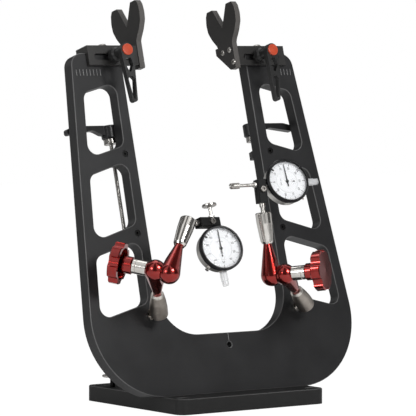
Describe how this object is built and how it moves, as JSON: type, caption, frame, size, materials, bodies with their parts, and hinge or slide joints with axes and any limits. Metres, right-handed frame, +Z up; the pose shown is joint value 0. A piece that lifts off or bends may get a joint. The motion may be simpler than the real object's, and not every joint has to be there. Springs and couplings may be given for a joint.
{
  "type": "bicycle wheel truing stand",
  "caption": "Tilted U-shaped wheel truing stand with V-notched axle brackets on sliding clamps, and jointed arms holding dial gauges to the rim.",
  "frame": {"origin": "middle of the base plate's underside, on the bench", "axes": "+X to the right across the stand seen from its front, -Y to the front where the gauges are, +Z up"},
  "size_m": [0.4206, 0.2648, 0.5304],
  "materials": {
    "black_steel": "satin black",
    "black_anodised": "satin black anodised",
    "bright_steel": "bright nickel",
    "satin_steel": "satin",
    "red_anodised": "glossy red anodised",
    "black_plastic": "matt",
    "orange_plastic": "gloss",
    "case_metal": "satin",
    "white_dial": "matt white print",
    "clear_plastic": "clear"
  },
  "bodies": {
    "stand": {"base_plate": "black_steel", "frame_plate": "black_anodised", "foot_bracket": "black_anodised", "socket_screws": "black_steel", "storage_posts": "bright_steel", "skewer_clips": "black_plastic", "base_ball_studs": "bright_steel"},
    "left_bracket": {"left_axle_bracket": "black_anodised", "left_v_blade": "black_anodised", "left_blade_plate": "black_anodised", "left_bracket_screws": "bright_steel"},
    "left_clamp": {"left_clamp_hub": "black_steel", "left_clamp_lever": "black_anodised", "left_lever_cap": "orange_plastic"},
    "left_axle": {"left_axle_rod": "bright_steel"},
    "left_cam_lever": {"left_axle_lever": "black_anodised"},
    "left_lower_arm": {"left_lower_arm": "red_anodised", "left_lower_sleeve": "satin_steel", "left_elbow_collar": "bright_steel"},
    "left_knob": {"left_elbow_knob": "red_anodised"},
    "left_upper_arm": {"left_upper_arm": "red_anodised", "left_upper_sleeve": "bright_steel"},
    "left_holder": {"left_gauge_ball_stud": "bright_steel", "left_gauge_holder": "black_anodised", "left_pinch_screw": "bright_steel"},
    "left_gauge": {"left_gauge_case": "case_metal", "left_gauge_face": "white_dial", "left_gauge_cap": "clear_plastic"},
    "left_bezel": {"left_gauge_bezel": "black_anodised", "left_gauge_dial": "white_dial"},
    "left_plunger": {"left_gauge_spindle": "bright_steel"},
    "left_needle": {"left_gauge_needle": "black_plastic"},
    "left_counter": {"left_gauge_counter": "black_plastic"},
    "right_bracket": {"right_axle_bracket": "black_anodised", "right_v_blade": "black_anodised", "right_blade_plate": "black_anodised", "right_bracket_screws": "bright_steel"},
    "right_clamp": {"right_clamp_hub": "black_steel", "right_clamp_lever": "black_anodised", "right_lever_cap": "orange_plastic"},
    "right_axle": {"right_axle_rod": "bright_steel"},
    "right_cam_lever": {"right_axle_lever": "black_anodised"},
    "right_lower_arm": {"right_lower_arm": "red_anodised", "right_lower_sleeve": "satin_steel", "right_elbow_collar": "bright_steel"},
    "right_knob": {"right_elbow_knob": "red_anodised"},
    "right_upper_arm": {"right_upper_arm": "red_anodised", "right_upper_sleeve": "bright_steel"},
    "right_holder": {"right_gauge_ball_stud": "bright_steel", "right_gauge_holder": "black_anodised", "right_pinch_screw": "bright_steel"},
    "right_gauge": {"right_gauge_case": "case_metal", "right_gauge_face": "white_dial", "right_gauge_cap": "clear_plastic"},
    "right_bezel": {"right_gauge_bezel": "black_anodised", "right_gauge_dial": "white_dial"},
    "right_plunger": {"right_gauge_spindle": "bright_steel"},
    "right_needle": {"right_gauge_needle": "black_plastic"},
    "right_counter": {"right_gauge_counter": "black_plastic"}
  },
  "joints": [
    {"name": "left_bracket_slide", "type": "slide", "parent": "stand", "child": "left_bracket", "axis": [-1, 0, 0], "range_m": [-0.0245, 0.0236]},
    {"name": "left_clamp_turn", "type": "hinge", "parent": "stand", "child": "left_clamp", "pos_m": [-0.118, 0.04788, 0.45459], "axis": [0, -0.9641, 0.2656], "range_deg": [-90, 90]},
    {"name": "left_axle_pull", "type": "slide", "parent": "stand", "child": "left_axle", "axis": [0, 0.2656, 0.9641], "range_m": [0, 0.04]},
    {"name": "left_cam_lever_turn", "type": "hinge", "parent": "left_axle", "child": "left_cam_lever", "pos_m": [-0.116, 0.04936, 0.34133], "axis": [0, 0.2656, 0.9641], "range_deg": [-150, 0]},
    {"name": "left_base_ball_swing", "type": "hinge", "parent": "stand", "child": "left_lower_arm", "pos_m": [-0.118, -0.06243, 0.1294], "axis": [0, -0.9641, 0.2656], "range_deg": [-20, 50]},
    {"name": "left_elbow_knob_turn", "type": "hinge", "parent": "left_lower_arm", "child": "left_knob", "pos_m": [-0.15226, -0.10355, 0.18615], "axis": [-0.6261, 0.7603, 0.173], "range_deg": [0, 360]},
    {"name": "left_elbow_bend", "type": "hinge", "parent": "left_lower_arm", "child": "left_upper_arm", "pos_m": [-0.15226, -0.10355, 0.18615], "axis": [0.6261, -0.7603, -0.173], "range_deg": [-45, 45]},
    {"name": "left_upper_ball_swing", "type": "hinge", "parent": "left_upper_arm", "child": "left_holder", "pos_m": [-0.0971, -0.09571, 0.24382], "axis": [-0.0692, 0.9531, -0.2946], "range_deg": [-70, 30]},
    {"name": "left_stem_turn", "type": "hinge", "parent": "left_holder", "child": "left_gauge", "pos_m": [-0.05481, -0.09298, 0.24273], "axis": [0.002, 0.3437, 0.9391], "range_deg": [-90, 90]},
    {"name": "left_bezel_turn", "type": "hinge", "parent": "left_gauge", "child": "left_bezel", "pos_m": [-0.05488, -0.10549, 0.20854], "axis": [-0.1779, -0.924, 0.3385], "continuous": true},
    {"name": "left_plunger_travel", "type": "slide", "parent": "left_gauge", "child": "left_plunger", "axis": [-0.002, -0.3437, -0.9391], "range_m": [0, 0.01], "stiffness_N_per_m": 60, "springref_m": -0.02},
    {"name": "left_needle_turn", "type": "hinge", "parent": "left_gauge", "child": "left_needle", "pos_m": [-0.05488, -0.10549, 0.20854], "axis": [-0.1779, -0.924, 0.3385], "range_deg": [-3600, 0]},
    {"name": "left_counter_turn", "type": "hinge", "parent": "left_gauge", "child": "left_counter", "pos_m": [-0.0549, -0.10893, 0.19915], "axis": [-0.1779, -0.924, 0.3385], "range_deg": [-360, 0]},
    {"name": "right_bracket_slide", "type": "slide", "parent": "stand", "child": "right_bracket", "axis": [1, 0, 0], "range_m": [-0.0331, 0.015]},
    {"name": "right_clamp_turn", "type": "hinge", "parent": "stand", "child": "right_clamp", "pos_m": [0.118, 0.04788, 0.45459], "axis": [0, -0.9641, 0.2656], "range_deg": [-90, 90]},
    {"name": "right_axle_pull", "type": "slide", "parent": "stand", "child": "right_axle", "axis": [0, 0.2656, 0.9641], "range_m": [0, 0.04]},
    {"name": "right_cam_lever_turn", "type": "hinge", "parent": "right_axle", "child": "right_cam_lever", "pos_m": [0.116, 0.04936, 0.34133], "axis": [0, 0.2656, 0.9641], "range_deg": [0, 150]},
    {"name": "right_base_ball_swing", "type": "hinge", "parent": "stand", "child": "right_lower_arm", "pos_m": [0.118, -0.06243, 0.1294], "axis": [0, -0.9641, 0.2656], "range_deg": [-50, 20]},
    {"name": "right_elbow_knob_turn", "type": "hinge", "parent": "right_lower_arm", "child": "right_knob", "pos_m": [0.06084, -0.09415, 0.17195], "axis": [0.5499, -0.8261, 0.1229], "range_deg": [0, 360]},
    {"name": "right_elbow_bend", "type": "hinge", "parent": "right_lower_arm", "child": "right_upper_arm", "pos_m": [0.06084, -0.09415, 0.17195], "axis": [0.5499, -0.8261, 0.1229], "range_deg": [-40, 25]},
    {"name": "right_upper_ball_swing", "type": "hinge", "parent": "right_upper_arm", "child": "right_holder", "pos_m": [0.04203, -0.07299, 0.24698], "axis": [-0.7429, 0.6564, -0.1316], "range_deg": [-30, 65]},
    {"name": "right_stem_turn", "type": "hinge", "parent": "right_holder", "child": "right_gauge", "pos_m": [0.04241, -0.06424, 0.28846], "axis": [-0.9827, 0.1827, -0.0296], "range_deg": [-90, 90]},
    {"name": "right_bezel_turn", "type": "hinge", "parent": "right_gauge", "child": "right_bezel", "pos_m": [0.07818, -0.07089, 0.28954], "axis": [-0.1799, -0.9055, 0.3843], "continuous": true},
    {"name": "right_plunger_travel", "type": "slide", "parent": "right_gauge", "child": "right_plunger", "axis": [0.9827, -0.1827, 0.0296], "range_m": [0, 0.01], "stiffness_N_per_m": 60, "springref_m": -0.02},
    {"name": "right_needle_turn", "type": "hinge", "parent": "right_gauge", "child": "right_needle", "pos_m": [0.07818, -0.07089, 0.28954], "axis": [-0.1799, -0.9055, 0.3843], "range_deg": [-3600, 0]},
    {"name": "right_counter_turn", "type": "hinge", "parent": "right_gauge", "child": "right_counter", "pos_m": [0.08801, -0.07272, 0.28984], "axis": [-0.1799, -0.9055, 0.3843], "range_deg": [-360, 0]}
  ],
  "couplings": [
    {"joint": "left_needle_turn", "follows": "left_plunger_travel", "rad_per_m": -6283.2},
    {"joint": "left_counter_turn", "follows": "left_plunger_travel", "rad_per_m": -628.32},
    {"joint": "right_needle_turn", "follows": "right_plunger_travel", "rad_per_m": -6283.2},
    {"joint": "right_counter_turn", "follows": "right_plunger_travel", "rad_per_m": -628.32}
  ]
}
